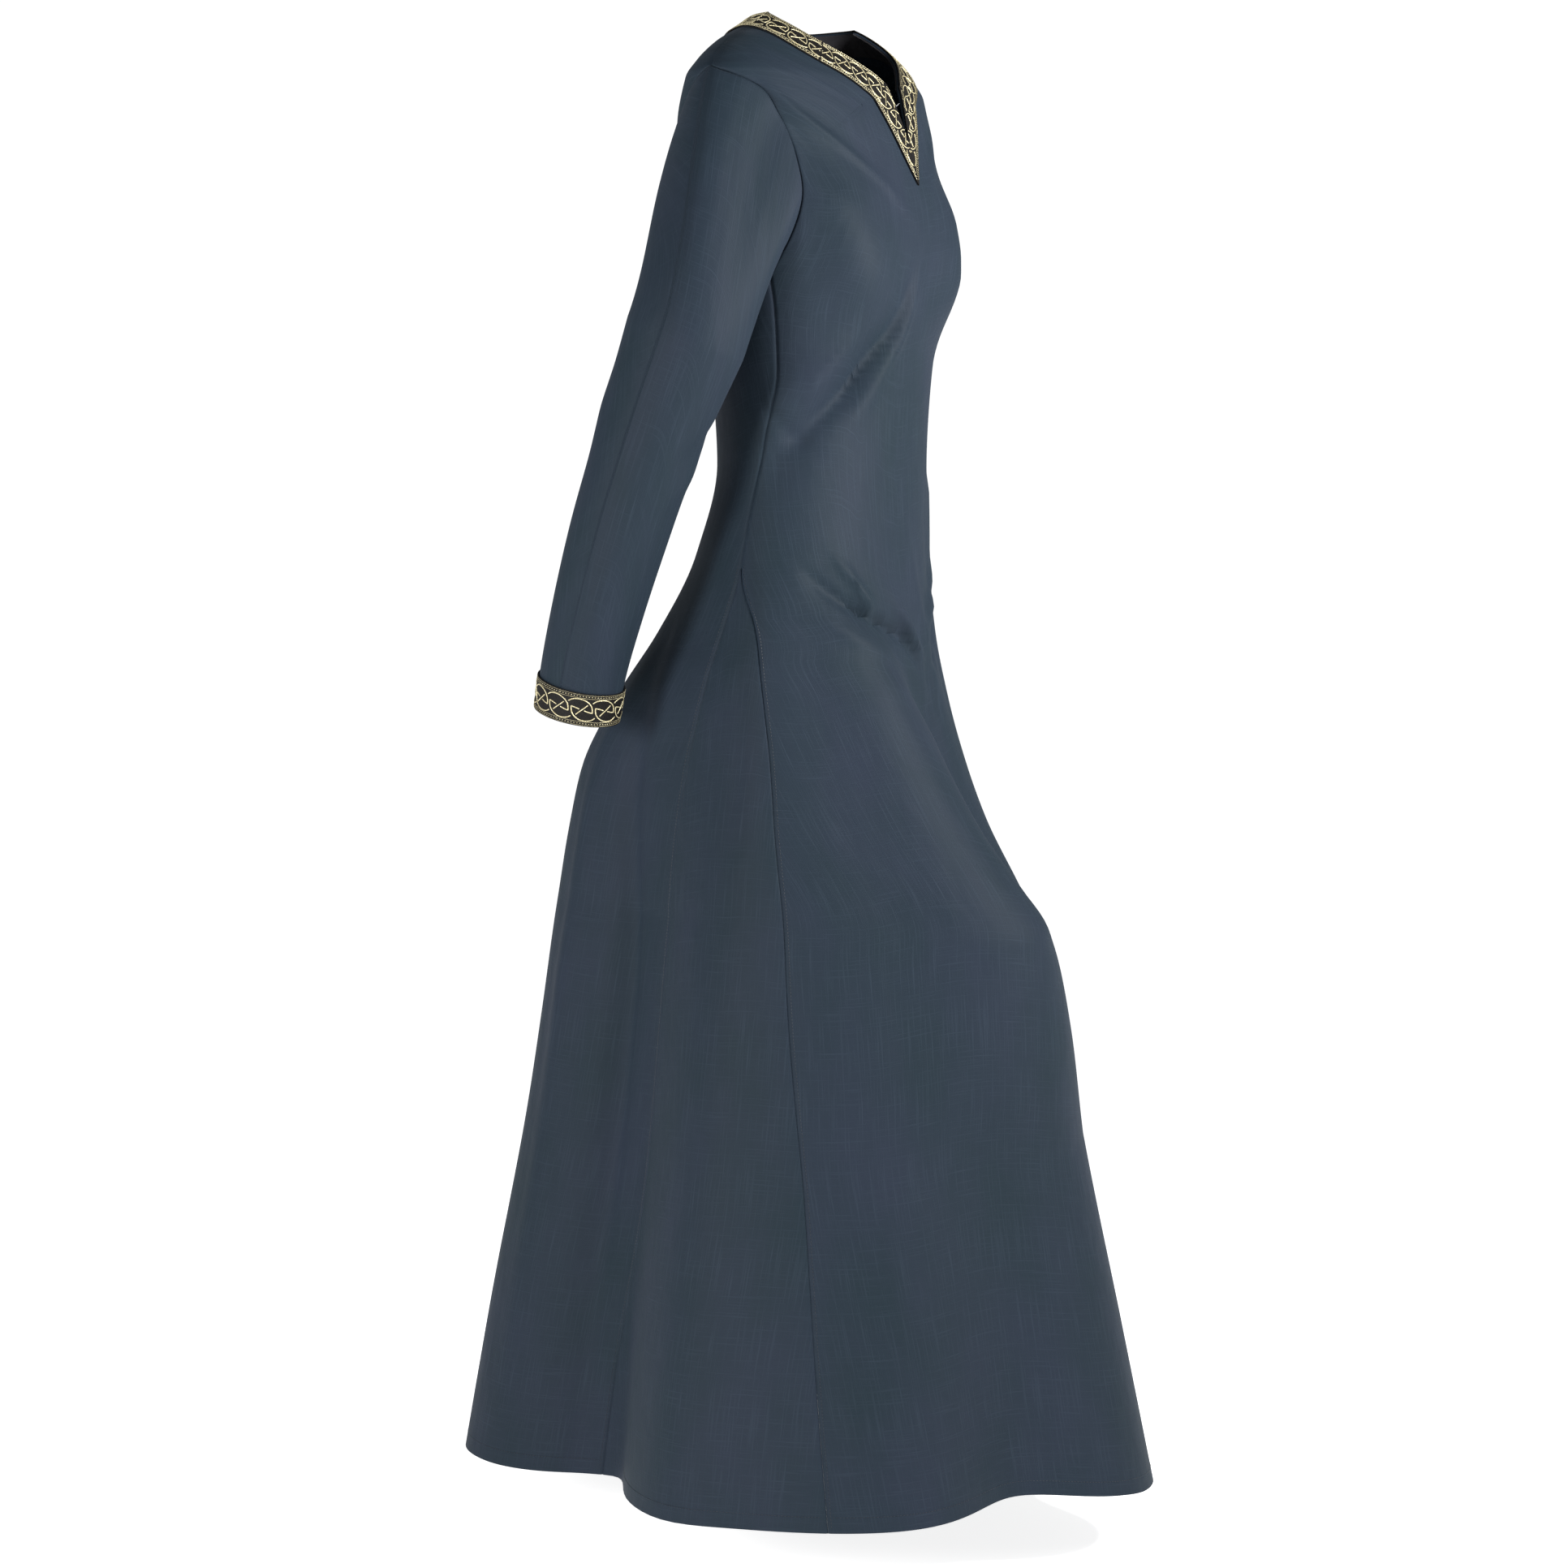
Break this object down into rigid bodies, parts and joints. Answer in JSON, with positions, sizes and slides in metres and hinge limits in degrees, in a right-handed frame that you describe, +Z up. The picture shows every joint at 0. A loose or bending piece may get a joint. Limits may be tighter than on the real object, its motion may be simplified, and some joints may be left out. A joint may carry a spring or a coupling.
{
  "type": "medieval gown",
  "caption": "Full-length worn gown with long sleeves, flared side gores, a slit round neck and woven trims at neck and cuffs; open hollow form.",
  "frame": {"origin": "the middle of the neck between the shoulder seams' neck ends, where the shoulders hold the gown", "axes": "+Z up along the wearer, -Y the way the wearer faces, +X the wearer's left"},
  "size_m": [0.575, 0.7294, 1.4693],
  "materials": {
    "gown_cloth": "fine slubby plain weave in dark slate blue-grey, soft sheen on the folds",
    "ribbon": "black woven ribbon with a raised gold and cream interlace and dashed borders",
    "facing_cloth": "plain near-black weave, matt"
  },
  "bodies": {
    "root": {"front_panel": "gown_cloth", "back_panel": "gown_cloth", "gore_right": "gown_cloth", "gore_left": "gown_cloth", "sleeve_right": "gown_cloth", "sleeve_left": "gown_cloth", "neck_ribbon": "ribbon", "neck_facing": "facing_cloth", "slit_ribbon_right": "ribbon", "slit_ribbon_left": "ribbon", "cuff_ribbon_right": "ribbon", "cuff_ribbon_left": "ribbon"}
  },
  "joints": []
}
